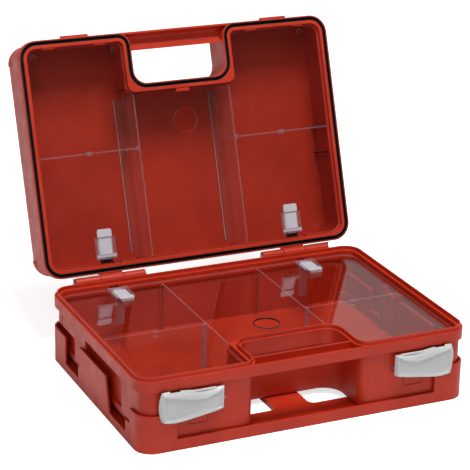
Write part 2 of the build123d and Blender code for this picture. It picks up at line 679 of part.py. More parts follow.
def bolt_guides(face_z, up):
    """Rails with inward lips and a bridge on the outer face of a cover, which hold a slide bolt."""
    bridge_y = (bolt_front_y + bolt_length, bolt_front_y + bolt_length + bridge_length)
    rail_y = (bolt_front_y + bolt_head_length + guide_start_gap, bridge_y[1])
    lip_bottom = bolt_flange + bolt_play
    rail_x = bolt_width / 2 + bolt_play
    lip_x = bolt_body_width / 2 + bolt_play
    lip_width = rail_x - lip_x + guide_wall
    bridge_bottom = bolt_height + bolt_play
    places = [(sign * bolt_x, pair) for sign in (-1, 1) for pair in (-1, 1)]
    wall_x = [(centre + pair * (rail_x + guide_wall / 2), sum(rail_y) / 2) for centre, pair in places]
    with Locations([(x, y, face_z + up * (lip_bottom + guide_lip) / 2) for x, y in wall_x]):
        Box(guide_wall, rail_y[1] - rail_y[0], lip_bottom + guide_lip)
    ledge_x = [(centre + pair * (lip_x + lip_width / 2), sum(rail_y) / 2) for centre, pair in places]
    with Locations([(x, y, face_z + up * (lip_bottom + guide_lip / 2)) for x, y in ledge_x]):
        Box(lip_width, rail_y[1] - rail_y[0], guide_lip)
    for centre_x in (-bolt_x, bolt_x):
        span = (centre_x - rail_x - guide_wall, centre_x + rail_x + guide_wall)
        bridge_z = sorted((face_z + up * bridge_bottom, face_z + up * (bridge_bottom + bridge_thickness)))
        block(span, bridge_y, bridge_z)
        for foot_x in ((span[0], span[0] + guide_wall), (span[1] - guide_wall, span[1])):
            block(foot_x, bridge_y, sorted((face_z, bridge_z[up > 0])))
        cut_x = (centre_x - cover_cut_width / 2, centre_x + cover_cut_width / 2)
        cut_y = (bridge_y[1], rim_half_depth)
        block(cut_x, cut_y, (face_z - cover_thickness, face_z + cover_thickness), mode=Mode.SUBTRACT)


def slide_bolt(sign, face_z, up):
    """Slide bolt with side flanges, a wide thumb head with rounded corners and a narrow nose."""
    centre_x = sign * bolt_x
    y = (bolt_front_y, bolt_front_y + bolt_length)
    guided_y = (y[0] + bolt_head_length, y[1])
    flange_x = (centre_x - bolt_width / 2, centre_x + bolt_width / 2)
    block(flange_x, guided_y, sorted((face_z, face_z + up * bolt_flange)))
    body_x = (centre_x - bolt_body_width / 2, centre_x + bolt_body_width / 2)
    block(body_x, y, sorted((face_z, face_z + up * bolt_height)))
    nose_x = (centre_x - bolt_nose_width / 2, centre_x + bolt_nose_width / 2)
    nose_y = (y[1] - join, y[1] + bolt_nose_length)
    block(nose_x, nose_y, sorted((face_z, face_z + up * bolt_nose_thickness)))
    head_y = y[0] + bolt_head_length / 2
    head_z = face_z + up * (bolt_height + bolt_head_rise)
    with BuildSketch(Plane.XY.offset(head_z)) as head:
        with Locations((centre_x, head_y)):
            Rectangle(bolt_head_width, bolt_head_length)
        fillet(head.vertices().group_by(Axis.Y)[0], radius=bolt_head_radius)
    extrude(head.sketch, amount=up * bolt_head_thickness)
    neck_y = (y[0] + bolt_head_radius, y[0] + bolt_head_length)
    block(body_x, neck_y, sorted((face_z, head_z)))


# ---- Covers and their slide bolts ----
with BuildPart() as base_cover:
    cover_plate(seat_top, cavity_inset + cover_gap)
    bolt_guides(base_cover_top, 1)
    leg_y = (tongue_leg_y - tongue_leg_thickness / 2, tongue_leg_y + tongue_leg_thickness / 2)
    for side, sign in sides:
        leg_x = (sign * tongue_leg_x - tongue_leg_width / 2, sign * tongue_leg_x + tongue_leg_width / 2)
        block(leg_x, leg_y, (tongue_leg_bottom, seat_top))
base_cover.part.label = "base_cover"
export_step(base_cover.part, "parts/base_cover.step")

with BuildPart() as lid_cover:
    cover_plate(lid_cover_bottom, lid_lip_inset + cover_gap)
    bolt_guides(lid_cover_bottom, -1)
lid_cover.part = lid_cover.part.rotate(hinge_axis, -lid_open_angle)
lid_cover.part.label = "lid_cover"
export_step(lid_cover.part, "parts/lid_cover.step")

for side, sign in sides:
    with BuildPart() as base_bolt:
        slide_bolt(sign, base_cover_top, 1)
    base_bolt.part.label = f"base_bolt_{side}"
    export_step(base_bolt.part, f"parts/base_bolt_{side}.step")

    with BuildPart() as lid_bolt:
        slide_bolt(sign, lid_cover_bottom, -1)
    lid_bolt.part = lid_bolt.part.rotate(hinge_axis, -lid_open_angle)
    lid_bolt.part.label = f"lid_bolt_{side}"
    export_step(lid_bolt.part, f"parts/lid_bolt_{side}.step")

# ---- Hinge pins, cranked at the outer end with a leg laid back over the knuckle ----
for side, sign in sides:
    with BuildPart() as hinge_pin:
        crank_x = hinge_outer_x + pin_leg_radius + divider_play
        rod(pin_radius, both(sign, (hinge_inner_x - pin_end, crank_x + pin_leg_radius)), hinge_y, hinge_z)
        with Locations((sign * crank_x, hinge_y, hinge_z + pin_leg_offset / 2)):
            Cylinder(pin_leg_radius, pin_leg_offset)
        leg_x = both(sign, (lid_knuckle_outer_x + knuckle_gap, crank_x + pin_leg_radius))
        rod(pin_leg_radius, leg_x, hinge_y, hinge_z + pin_leg_offset)
    hinge_pin.part.label = f"hinge_pin_{side}"
    export_step(hinge_pin.part, f"parts/hinge_pin_{side}.step")

# ---- Latches: link, lever and their two pins ----
lug_x = ears
pin_z = latch_axis_z - latch_throw
lever_front_y = lever_back_y - lever_depth
pocket_y = lever_back_y - lever_pocket_depth
pocket_x = (ears[0][0] - lever_pocket_play, ears[1][1] + latch_pin_end + lever_pocket_play)
pocket_bottom = latch_axis_z - lift - latch_eye_radius - lever_pocket_play
shoulder_top = [
    top + (crest - top) * lever_shoulder_drop for top, crest in zip(lever_top, lever_crest)
]
for side, sign in sides:
    with BuildPart() as latch_link:
        link_x = both(sign, (link_inner_x, link_outer_x))
        rod(latch_eye_radius, link_x, latch_axis_y, latch_axis_z)
        rod(latch_eye_radius, link_x, latch_axis_y, pin_z)
        link_y = (latch_axis_y - link_thickness / 2, latch_axis_y + link_thickness / 2)
        block(link_x, link_y, (pin_z, latch_axis_z))
        for eye_z in (pin_z, latch_axis_z):
            rod(bore, link_x, latch_axis_y, eye_z, mode=Mode.SUBTRACT)
    latch_link.part.label = f"latch_link_{side}"
    export_step(latch_link.part, f"parts/latch_link_{side}.step")

    with BuildPart() as latch_lever:
        for forward, heights in ((0, lever_top), (lever_shoulder, shoulder_top), (1, lever_crest)):
            taper = lever_taper * forward
            section_top = lever_curve(heights, taper)
            section_bottom = lever_curve(lever_bottom, taper)
            with BuildSketch(Plane.XZ.offset(lever_depth * forward - lever_back_y)):
                make_face(lever_section(sign, section_top, section_bottom, lever_bulge - taper))
        loft(ruled=True)
        mouth_inset = lever_taper + lever_rim
        mouth_top = lever_curve(lever_crest, mouth_inset, lever_rim)
        mouth_bottom = lever_curve(lever_bottom, mouth_inset, -lever_rim)
        dish_inset = mouth_inset + lever_dish_slope
        dish_top = lever_curve(lever_crest, dish_inset, lever_rim + lever_dish_slope)
        dish_bottom = lever_curve(lever_crease, dish_inset)
        with BuildSketch(Plane.XZ.offset(-lever_front_y)):
            make_face(lever_section(sign, mouth_top, mouth_bottom, lever_rim))
        with BuildSketch(Plane.XZ.offset(-lever_front_y - lever_dish)):
            make_face(lever_section(sign, dish_top, dish_bottom, lever_rim))
        loft(ruled=True, mode=Mode.SUBTRACT)
        notch_y = (lever_back_y - lever_notch_depth, lever_back_y + join)
        notch_z = (lever_notch_bottom, lever_top[-1] + join)
        block(both(sign, lever_notch_x), notch_y, notch_z, mode=Mode.SUBTRACT)
        pocket_depth = (pocket_y, lever_back_y + join)
        block(both(sign, pocket_x), pocket_depth, (pocket_bottom, hook_bottom), mode=Mode.SUBTRACT)
        for lug in lug_x:
            rod(latch_eye_radius, both(sign, lug), latch_axis_y, pin_z)
            lug_z = (pin_z - latch_eye_radius, pin_z + latch_eye_radius)
            block(both(sign, lug), (latch_axis_y, pocket_y - join), lug_z)
        hook_y = (lever_back_y + hook_reach, lever_back_y - join)
        block(both(sign, (ears[0][0], ears[1][1])), hook_y, (hook_bottom, hook_bottom + hook_thickness))
        rod(bore, both(sign, (ears[0][0] - join, ears[1][1] + join)), latch_axis_y, pin_z, mode=Mode.SUBTRACT)
    latch_lever.part.label = f"latch_lever_{side}"
    export_step(latch_lever.part, f"parts/latch_lever_{side}.step")

    with BuildPart() as latch_base_pin:
        pin_x = both(sign, (ears[0][0] - latch_pin_end, ears[1][1] + latch_pin_end))
        rod(latch_pin_radius, pin_x, latch_axis_y, latch_axis_z)
    latch_base_pin.part.label = f"latch_base_pin_{side}"
    export_step(latch_base_pin.part, f"parts/latch_base_pin_{side}.step")

    with BuildPart() as latch_lever_pin:
        pin_x = both(sign, (latch_pin_nub_x, ears[1][1] + latch_pin_end))
        rod(latch_pin_radius, pin_x, latch_axis_y, pin_z)
    latch_lever_pin.part.label = f"latch_lever_pin_{side}"
    export_step(latch_lever_pin.part, f"parts/latch_lever_pin_{side}.step")

# ---- Wall bracket ----
with BuildPart() as wall_bracket:
    with BuildSketch():
        RectangleRounded(2 * bracket_half_width, 2 * bracket_half_depth, bracket_radius)
    extrude(amount=bracket_tab_top)
    with BuildSketch(Plane.XY.offset(bracket_floor)):
        inner_size = (2 * (bracket_half_width - bracket_wall), 2 * (bracket_half_depth - bracket_wall))
        RectangleRounded(*inner_size, bracket_radius - bracket_wall)
    extrude(amount=bracket_tab_top, mode=Mode.SUBTRACT)

    # Windows in the floor on both sides of the strap
    with BuildSketch():
        window_width = bracket_half_width - bracket_side_bar - strap_half_width
        window_x = strap_half_width + window_width / 2
        with Locations((-window_x, 0), (window_x, 0)):
            RectangleRounded(window_width, 2 * (bracket_half_depth - bracket_border), bracket_window_radius)
    extrude(amount=bracket_floor, mode=Mode.SUBTRACT)

    # Front and back windows between the corner posts
    window_height = bracket_tab_top - bracket_bar_height
    block(
        (-bracket_post_wrap_x, bracket_post_wrap_x),
        (-bracket_half_depth, bracket_half_depth),
        (bracket_bar_height, bracket_bar_height + window_height),
        mode=Mode.SUBTRACT,
    )

    # Side openings, which leave the corner posts and a springy tab in the middle
    with BuildSketch(Plane.YZ):
        with BuildLine():
            Polyline(
                (-case_depth, bracket_tab_top),
                (-case_depth, bracket_post_height),
                (-bracket_front_post_y - bracket_foot_step, bracket_post_height),
                (-bracket_front_post_y - bracket_foot_step, bracket_foot_height),
                (-bracket_front_post_y, bracket_foot_height),
                (-bracket_front_post_y, bracket_side_rail),
                (bracket_tab_front - bracket_foot_step, bracket_side_rail),
                (bracket_tab_front, bracket_tab_top),
                close=True,
            )
        make_face()
        with BuildLine():
            Polyline(
                (bracket_tab_back, bracket_tab_top),
                (bracket_tab_back, bracket_foot_height),
                (bracket_tab_back + bracket_tab_foot, bracket_foot_height),
                (bracket_tab_back + bracket_tab_foot, bracket_side_rail),
                (bracket_back_post_y, bracket_side_rail),
                (bracket_back_post_y, bracket_post_height),
                (case_depth, bracket_post_height),
                (case_depth, bracket_tab_top),
                close=True,
            )
        make_face()
    extrude(amount=case_width, both=True, mode=Mode.SUBTRACT)

    # Screw holes to the wall
    with Locations([(x, y, bracket_floor) for x in (-screw_x, screw_x) for y in (-screw_y, screw_y)]):
        CounterSinkHole(radius=screw_radius, counter_sink_radius=screw_head_radius)
wall_bracket.part.label = "wall_bracket"
export_step(wall_bracket.part, "parts/wall_bracket.step")
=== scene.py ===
import json
import math

import bmesh
import bpy
from mathutils import Matrix, Vector


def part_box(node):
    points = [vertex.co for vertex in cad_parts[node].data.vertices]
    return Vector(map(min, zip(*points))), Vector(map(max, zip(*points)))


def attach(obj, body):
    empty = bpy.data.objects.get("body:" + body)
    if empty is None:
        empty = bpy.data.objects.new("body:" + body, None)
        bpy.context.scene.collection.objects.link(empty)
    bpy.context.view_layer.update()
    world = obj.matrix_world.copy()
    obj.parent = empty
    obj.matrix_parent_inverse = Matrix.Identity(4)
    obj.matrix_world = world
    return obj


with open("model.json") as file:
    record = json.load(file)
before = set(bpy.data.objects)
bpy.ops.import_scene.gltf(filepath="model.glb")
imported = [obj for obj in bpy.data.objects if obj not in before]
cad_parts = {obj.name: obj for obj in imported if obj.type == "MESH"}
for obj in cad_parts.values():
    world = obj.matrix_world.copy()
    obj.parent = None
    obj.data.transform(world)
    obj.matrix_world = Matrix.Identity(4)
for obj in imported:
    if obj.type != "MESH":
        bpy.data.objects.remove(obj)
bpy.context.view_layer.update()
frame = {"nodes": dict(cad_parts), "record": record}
nodes = frame["nodes"]

# ---------------------------------------------------------------- camera
CAMERA_AT = Vector((-0.88573, -1.84698, 0.94207))
CAMERA_AZIMUTH = math.radians(-24.9)
CAMERA_ELEVATION = math.radians(20.58)
CAMERA_ROLL = math.radians(1.29)
SENSOR_WIDTH = 36.0
PHOTO_WIDTH = 470  # in pixels, as the focal length that was solved from the photo
FOCAL_LENGTH = 1941.91 / PHOTO_WIDTH * SENSOR_WIDTH


def make_camera():
    forward = Vector((-math.sin(CAMERA_AZIMUTH) * math.cos(CAMERA_ELEVATION),
                      math.cos(CAMERA_AZIMUTH) * math.cos(CAMERA_ELEVATION),
                      -math.sin(CAMERA_ELEVATION)))
    level = Vector((math.cos(CAMERA_AZIMUTH), math.sin(CAMERA_AZIMUTH), 0))
    upright = level.cross(forward)
    right = level * math.cos(CAMERA_ROLL) + upright * math.sin(CAMERA_ROLL)
    up = upright * math.cos(CAMERA_ROLL) - level * math.sin(CAMERA_ROLL)
    data = bpy.data.cameras.new("camera")
    data.sensor_width = SENSOR_WIDTH
    data.lens = FOCAL_LENGTH
    data.clip_end = 50
    camera = bpy.data.objects.new("camera", data)
    bpy.context.scene.collection.objects.link(camera)
    turn = Matrix((right, up, -forward)).transposed().to_4x4()
    camera.matrix_world = Matrix.Translation(CAMERA_AT) @ turn
    bpy.context.scene.camera = camera


# ---------------------------------------------------------------- light
def area_light(name, place, target, size, power):
    data = bpy.data.lights.new(name, "AREA")
    data.shape = "RECTANGLE"
    data.size, data.size_y = size
    data.energy = power
    lamp = bpy.data.objects.new(name, data)
    bpy.context.scene.collection.objects.link(lamp)
    lamp.location = place
    lamp.rotation_euler = (Vector(target) - Vector(place)).to_track_quat("-Z", "Y").to_euler()


def combine(tree, operation, first, second, number=0.0):
    """A maths node on two sockets, or on one and a number."""
    node = tree.nodes.new("ShaderNodeMath")
    node.operation = operation
    node.inputs[1].default_value = number
    tree.links.new(first, node.inputs[0])
    if second:
        tree.links.new(second, node.inputs[1])
    return node.outputs[0]


AMBIENT = 0.26  # light that comes from all round
ROOM = 0.04  # how bright the unlit room in front of the object looks in a mirror
BACKDROP = 0.38  # and how bright the backdrop behind it does
BACKDROP_REACH = (-0.1, 0.35)  # mirrored directions over which the one turns into the other


def looked_at(tree, path):
    """1 for a ray that comes straight from the camera or through clear plastic."""
    return combine(tree, "MAXIMUM", path.outputs["Is Camera Ray"], path.outputs["Is Transmission Ray"])


def backdrop_level(tree, depth, reach, dim, bright):
    """How bright the stage looks to a ray.

    It is fully lit to the camera and through clear plastic, and in a mirror it
    goes from dim to bright as depth goes through reach.
    """
    path = tree.nodes.new("ShaderNodeLightPath")
    mirrored = span(tree, depth, dim, bright, *reach)
    glossy = combine(tree, "MULTIPLY", path.outputs["Is Glossy Ray"], mirrored)
    return combine(tree, "MAXIMUM", looked_at(tree, path), glossy)


def make_world():
    world = bpy.data.worlds.new("studio")
    bpy.context.scene.world = world
    world.use_nodes = True
    tree = world.node_tree
    background = tree.nodes["Background"]
    background.inputs["Color"].default_value = (1, 1, 1, 1)
    direction = tree.nodes.new("ShaderNodeSeparateXYZ")
    tree.links.new(tree.nodes.new("ShaderNodeTexCoord").outputs["Generated"], direction.inputs[0])
    level = tree.nodes.new("ShaderNodeMix")
    level.inputs["A"].default_value = AMBIENT
    path = tree.nodes.new("ShaderNodeLightPath")
    seen = combine(tree, "MAXIMUM", looked_at(tree, path), path.outputs["Is Glossy Ray"])
    tree.links.new(seen, level.inputs["Factor"])
    backdrop = backdrop_level(tree, direction.outputs["Y"], BACKDROP_REACH, ROOM, BACKDROP)
    tree.links.new(backdrop, level.inputs["B"])
    tree.links.new(level.outputs["Result"], background.inputs["Strength"])


# ---------------------------------------------------------------- materials
def start(name):
    """A new material's tree, its main shader and its object coordinates."""
    material = bpy.data.materials.new(name)
    material.use_nodes = True
    tree = material.node_tree
    shader = tree.nodes["Principled BSDF"]
    place = tree.nodes.new("ShaderNodeTexCoord").outputs["Object"]
    return material, tree, shader, place


def noise(tree, place, scale, detail, rough=0.5, stretch=None):
    if stretch:
        mapping = tree.nodes.new("ShaderNodeMapping")
        mapping.inputs["Scale"].default_value = stretch
        tree.links.new(place, mapping.inputs["Vector"])
        place = mapping.outputs[0]
    node = tree.nodes.new("ShaderNodeTexNoise")
    node.inputs["Scale"].default_value = scale
    node.inputs["Detail"].default_value = detail
    node.inputs["Roughness"].default_value = rough
    tree.links.new(place, node.inputs["Vector"])
    return node.outputs["Fac"]


def ramp(tree, fac, stops):
    """A colour ramp over fac, with stops of (position, colour)."""
    node = tree.nodes.new("ShaderNodeValToRGB")
    band = node.color_ramp
    while len(band.elements) < len(stops):
        band.elements.new(0.5)
    for element, (position, colour) in zip(band.elements, stops):
        element.position = position
        element.color = (*colour, 1)
    tree.links.new(fac, node.inputs["Fac"])
    return node.outputs["Color"]


def span(tree, fac, low, high, start=0.3, end=0.7):
    """fac from start to end becomes a number from low to high."""
    node = tree.nodes.new("ShaderNodeMapRange")
    node.inputs["From Min"].default_value = start
    node.inputs["From Max"].default_value = end
    node.inputs["To Min"].default_value = low
    node.inputs["To Max"].default_value = high
    tree.links.new(fac, node.inputs["Value"])
    return node.outputs[0]


def bump(tree, height, strength, distance, normal=None):
    node = tree.nodes.new("ShaderNodeBump")
    node.inputs["Strength"].default_value = strength
    node.inputs["Distance"].default_value = distance
    tree.links.new(height, node.inputs["Height"])
    if normal:
        tree.links.new(normal, node.inputs["Normal"])
    return node.outputs[0]


def soft_edges(tree, radius):
    node = tree.nodes.new("ShaderNodeBevel")
    node.samples = 4
    node.inputs["Radius"].default_value = radius
    return node.outputs[0]


def blend(tree, fac, first, second):
    """The colour first where fac is 0 and second where it is 1."""
    node = tree.nodes.new("ShaderNodeMix")
    node.data_type = "RGBA"
    tree.links.new(fac, node.inputs["Factor"])
    tree.links.new(first, node.inputs["A"])
    tree.links.new(second, node.inputs["B"])
    return node.outputs["Result"]


CLOUD_SCALE = 14
SPECK_SCALE = 1100
SPECK_SHARE = 0.4  # how much of the colour's variation is specks, the rest being clouds
COLOUR_SPREAD = (0.38, 0.62)  # the mixed noise at the darkest and at the palest colour
GRAIN_DEPTH = 0.0002


def moulded_plastic(name, colours, roughness, grain, edge):
    """Satin moulded plastic: cloudy colour, a fine spark-eroded grain and edges that catch the light."""
    material, tree, shader, place = start(name)
    cloud = noise(tree, place, CLOUD_SCALE, 4, 0.6)
    speck = noise(tree, place, SPECK_SCALE, 2, 0.6)
    clouds = combine(tree, "MULTIPLY", cloud, None, 1 - SPECK_SHARE)
    specks = combine(tree, "MULTIPLY", speck, None, SPECK_SHARE)
    mixed = combine(tree, "ADD", clouds, specks)
    colour = ramp(tree, mixed, list(zip(COLOUR_SPREAD, colours)))
    tree.links.new(colour, shader.inputs["Base Color"])
    patches = noise(tree, place, 60, 3)
    tree.links.new(span(tree, patches, *roughness), shader.inputs["Roughness"])
    shader.inputs["Specular IOR Level"].default_value = 0.33
    normal = soft_edges(tree, edge)
    normal = bump(tree, speck, grain, GRAIN_DEPTH, normal)
    tree.links.new(normal, shader.inputs["Normal"])
    return material


def along(tree, vector, axis):
    """How far a vector socket reaches along axis."""
    node = tree.nodes.new("ShaderNodeVectorMath")
    node.operation = "DOT_PRODUCT"
    node.inputs[1].default_value = axis
    tree.links.new(vector, node.inputs[0])
    return node.outputs["Value"]


def flat_normal(tree):
    """The true normal of each face in the object's own axes."""
    node = tree.nodes.new("ShaderNodeVectorTransform")
    node.vector_type = "NORMAL"
    node.convert_from = "WORLD"
    node.convert_to = "OBJECT"
    tree.links.new(tree.nodes.new("ShaderNodeNewGeometry").outputs["True Normal"], node.inputs[0])
    return node.outputs[0]


EDGE_VEIL = 0.22  # how milky a clear plate's cut edges are
FITTING_FROST = 0.35  # how much of that its raised fittings get
STEP = 0.0002  # height over which a fitting's frost sets in
EDGE_TO_FACE = (0.45, 0.9)  # how squarely a cut edge, and how squarely a face, looks along the axis
EDGE_ROUGHNESS = 0.35
EDGE_COAT = 0.15
THIN_IOR = 1.01  # thin enough not to bend the view; the coat does the mirroring
ACRYLIC_IOR = 1.49


def clear_plastic(name, axis, veil, raised, tone=0.97):
    """Clear acrylic plate with frosted edges and hairline scratches, that lets lamp light through.

    axis looks across the plate, veil is how milky its faces are, raised is the
    height along axis, with its side, above which its fittings are milkier, and
    tone is the share of light that it lets through.
    """
    material, tree, shader, place = start(name)
    across = combine(tree, "ABSOLUTE", along(tree, flat_normal(tree), axis), None)
    edge = span(tree, across, 1.0, 0.0, *EDGE_TO_FACE)
    if raised:
        height, side = raised
        above = span(tree, along(tree, place, axis), 0.0, FITTING_FROST, height, height + side * STEP)
        edge = combine(tree, "MAXIMUM", edge, above)
    milky = span(tree, edge, veil, EDGE_VEIL, 0.0, 1.0)
    shader.inputs["IOR"].default_value = THIN_IOR
    shader.inputs["Coat IOR"].default_value = ACRYLIC_IOR
    shader.inputs["Coat Roughness"].default_value = 0.015
    tree.links.new(span(tree, edge, 1.0, EDGE_COAT, 0.0, 1.0), shader.inputs["Coat Weight"])
    tree.links.new(span(tree, milky, 1.0, 0.0, 0.0, 1.0), shader.inputs["Transmission Weight"])
    dim, bright = (tone - 0.02, tone - 0.01, tone - 0.01), (tone, tone + 0.01, tone + 0.01)
    clear = ramp(tree, noise(tree, place, 9, 2), [(0.3, dim), (0.7, bright)])
    # milky frost, tinted pink to paint the red light it scatters from the case walls
    frost = ramp(tree, noise(tree, place, 160, 3), [(0.3, (0.56, 0.42, 0.49)), (0.7, (0.70, 0.54, 0.61))])
    tree.links.new(blend(tree, edge, clear, frost), shader.inputs["Base Color"])
    scratch = span(tree, noise(tree, place, 90, 6, 0.75, (1.0, 0.06, 1.0)), 0.01, 0.10, 0.62, 0.85)
    frosted = combine(tree, "MULTIPLY", edge, None, EDGE_ROUGHNESS)
    tree.links.new(combine(tree, "ADD", scratch, frosted), shader.inputs["Roughness"])
    tree.links.new(bump(tree, noise(tree, place, 22, 2), 0.05, 0.0005), shader.inputs["Normal"])
    path = tree.nodes.new("ShaderNodeLightPath")
    through = tree.nodes.new("ShaderNodeBsdfTransparent")
    through.inputs["Color"].default_value = (tone, tone, tone, 1)
    mix = tree.nodes.new("ShaderNodeMixShader")
    tree.links.new(looked_at(tree, path), mix.inputs["Fac"])
    tree.links.new(through.outputs[0], mix.inputs[1])
    tree.links.new(shader.outputs[0], mix.inputs[2])
    tree.links.new(mix.outputs[0], tree.nodes["Material Output"].inputs["Surface"])
    return material


def rubber():
    material, tree, shader, place = start("black_rubber")
    cloud = noise(tree, place, 30, 3)
    colour = ramp(tree, cloud, [(0.3, (0.004, 0.004, 0.005)), (0.7, (0.009, 0.008, 0.009))])
    tree.links.new(colour, shader.inputs["Base Color"])
    tree.links.new(span(tree, noise(tree, place, 120, 2), 0.5, 0.7), shader.inputs["Roughness"])
    tree.links.new(bump(tree, noise(tree, place, 900, 2), 0.25, 0.0001), shader.inputs["Normal"])
    return material


def steel():
    material, tree, shader, place = start("steel")
    shader.inputs["Metallic"].default_value = 1.0
    drawn = noise(tree, place, 500, 3, 0.6, (0.03, 1.0, 1.0))
    colour = ramp(tree, drawn, [(0.3, (0.24, 0.24, 0.25)), (0.7, (0.40, 0.40, 0.41))])
    tree.links.new(colour, shader.inputs["Base Color"])
    tree.links.new(span(tree, drawn, 0.22, 0.42), shader.inputs["Roughness"])
    tree.links.new(bump(tree, drawn, 0.1, 0.00005), shader.inputs["Normal"])
    return material


LID_TURN = math.radians(109.7)
HINGE = (0.1474, 0.0832)
UP = (0.0, 0.0, 1.0)
WIDTH = (1.0, 0.0, 0.0)
DEPTH = (0.0, 1.0, 0.0)
LID_UP = (0.0, math.sin(LID_TURN), math.cos(LID_TURN))
LID_DEPTH = (0.0, math.cos(LID_TURN), -math.sin(LID_TURN))
BASE_COVER_TOP = 0.078
LID_COVER_BOTTOM = 0.0857


def lid_height(closed_z):
    """Where a plane of the closed lid ends up along the open lid's upward axis."""
    return HINGE[0] * LID_UP[1] + HINGE[1] * LID_UP[2] + closed_z - HINGE[1]


# plate: the axis across it, how milky its faces are, where its fittings begin
# and, where it is darker than most, the share of light that it lets through, lowered on the covers to
# paint shade over the compartments under them, most of all on the lid
PLATES = {
    "base_cover": (UP, 0.0, (BASE_COVER_TOP + 0.0001, 1), 0.95),
    "lid_cover": (LID_UP, 0.0, (lid_height(LID_COVER_BOTTOM) - 0.0001, -1), 0.89),
    "base_divider": (WIDTH, 0.01, None),
    "lid_divider": (WIDTH, 0.02, None),
    "base_cross_divider": (DEPTH, 0.01, None),
    "lid_cross_divider": (LID_DEPTH, 0.02, None),
    "lid_divider_foot": (LID_UP, 0.01, None),
}

# plastic: its darkest and palest colour, its range of roughness, the strength
# of its grain and the radius of its edges
PLASTICS = {
    "case_orange": (((0.41, 0.021, 0.005), (0.51, 0.030, 0.009)), (0.36, 0.52), 0.30, 0.0006),
    "grey_plastic": (((0.48, 0.483, 0.488), (0.555, 0.558, 0.563)), (0.32, 0.45), 0.08, 0.0006),
    "white_plastic": (((0.46, 0.445, 0.48), (0.53, 0.515, 0.55)), (0.32, 0.44), 0.06, 0.0003),
    # frosted: milky plastic, tinted pink to paint the red light it scatters from the case walls
    "frosted": (((0.38, 0.30, 0.35), (0.50, 0.41, 0.46)), (0.25, 0.38), 0.05, 0.0002),
    # painted shade: dark lines along the clear rails' outer edges
    "edge_line": (((0.20, 0.10, 0.15), (0.30, 0.17, 0.23)), (0.15, 0.25), 0.03, 0.0001),
    # painted shade: a dark sheet at the opening of each lid bolt's slot
    "slot_shadow": (((0.022, 0.004, 0.003), (0.045, 0.007, 0.005)), (0.5, 0.65), 0.10, 0.0002),
    # painted shade: dark rings in the base cover's finger hole and dark lines of painted shadow in the
    # gaps beside the cover
    "dark_edge": (((0.010, 0.008, 0.016), (0.030, 0.022, 0.038)), (0.18, 0.30), 0.03, 0.0002),
}


def make_materials():
    materials = {"black_rubber": rubber(), "steel": steel()}
    for name, plastic in PLASTICS.items():
        materials[name] = moulded_plastic(name, *plastic)
    for name, plate in PLATES.items():
        materials[name] = clear_plastic("clear_" + name, *plate)
    return materials


def dress_nodes(materials):
    for part in frame["record"]["subparts"]:
        name, finish = part["node"], part["material_slot"]
        if finish == "clear_plastic":
            finish = name.replace("_left", "").replace("_right", "")
        for holder in nodes[name].material_slots:
            holder.material = materials[finish]


# ---------------------------------------------------------------- pieces
# Places are given in metres with the lid closed.
LID_FLOOR = 0.1352
LID_COVER_TOP = LID_COVER_BOTTOM + 0.002
PROUD = 0.0001  # how far a mark stands off its plate

MARK_RADIUS = 0.0028
MARK_WIRE = 0.00022
LID_MARKS = ((-0.1814, -0.1204), (-0.0816, -0.1208), (0.1644, -0.1221), (0.1574, 0.1199))
BASE_MARKS = ((0.1860, 0.1240), (0.0809, -0.0657))
LID_MARK_ARC = (120, 390)
BASE_MARK_ARC = (60, 330)

FINGER_HOLE_Y = -0.029
FINGER_HOLE_RADIUS = 0.0153
# rings of painted shade on the finger hole's inner wall
FINGER_RIM_WIRE = 0.0004
FINGER_RIM_Z = (0.0764, 0.0770, 0.0776)
FINGER_RIM_STEPS = 39

# lines of painted shadow in the gaps between the base cover and the case
GAP_X = 0.19173
GAP_Y = (-0.115, 0.0, 0.117)
GAP_WIRE = 0.00035

FOOT_X = {"left": (-0.0714, -0.0632), "right": (0.0536, 0.0618)}
FOOT_Y = (-0.0625, 0.1235)
FOOT_Z = (LID_FLOOR - 0.0010, LID_FLOOR - 0.0004)
FOOT_EDGE = 0.0001
# the line of painted highlight along each divider's outer edge
FOOT_LINE_Y = (-0.0620, 0.0300, 0.1230)
FOOT_LINE_Z = LID_FLOOR - 0.0007
FOOT_LINE_WIRE = 0.00045

BOLT_X = 0.122
BAR_REACH = 0.0122
BAR_Y = (0.1181, 0.1216)
BAR_Z = (LID_COVER_BOTTOM - 0.0037, LID_COVER_BOTTOM - 0.0029)
BAR_EDGE = 0.0003
# a dark sheet of painted shade at the opening of each lid bolt's slot, where the recess lies in shadow
SLOT_SHADE_X = (-0.0070, 0.0088)  # about the bolt's middle
SLOT_SHADE_Y = (0.1234, 0.1290)
SLOT_SHADE_Z = (LID_COVER_TOP + 0.0001, LID_COVER_TOP + 0.0003)
SLOT_SHADE_EDGE = 0.00005
RAIL_REACH = 0.01255
RAIL_HEIGHT = 0.0023
RAIL_Y = (0.0980, 0.1110, 0.1240)
RAIL_WIRE = 0.00025


def as_closed(x, y, z):
    """A point on the base, which stays where it is."""
    return Vector((x, y, z))


def as_open(x, y, z):
    """A point of the closed lid, where the open lid has it."""
    depth, height = y - HINGE[0], z - HINGE[1]
    return Vector((x, *HINGE)) + depth * Vector(LID_DEPTH) + height * Vector(LID_UP)


def keep(piece, material, body):
    """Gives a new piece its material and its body."""
    piece.data.materials.append(material)
    bpy.context.scene.collection.objects.link(piece)
    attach(piece, body)


def wire(name, points, radius, material, body, cyclic=False):
    """A thin round bead along points."""
    curve = bpy.data.curves.new(name, "CURVE")
    curve.dimensions = "3D"
    curve.bevel_depth = radius
    curve.bevel_resolution = 2
    curve.use_fill_caps = not cyclic
    line = curve.splines.new("POLY")
    line.points.add(len(points) - 1)
    for place, point in zip(line.points, points):
        place.co = (*point, 1)
    line.use_cyclic_u = cyclic
    keep(bpy.data.objects.new(name, curve), material, body)


def arc(place, centre, radius, first, last, steps=20):
    """Points of an upright arc from the first angle to the last, in degrees."""
    x, y, z = centre
    angles = [math.radians(first + (last - first) * step / steps) for step in range(steps + 1)]
    return [place(x + radius * math.cos(a), y + radius * math.sin(a), z) for a in angles]


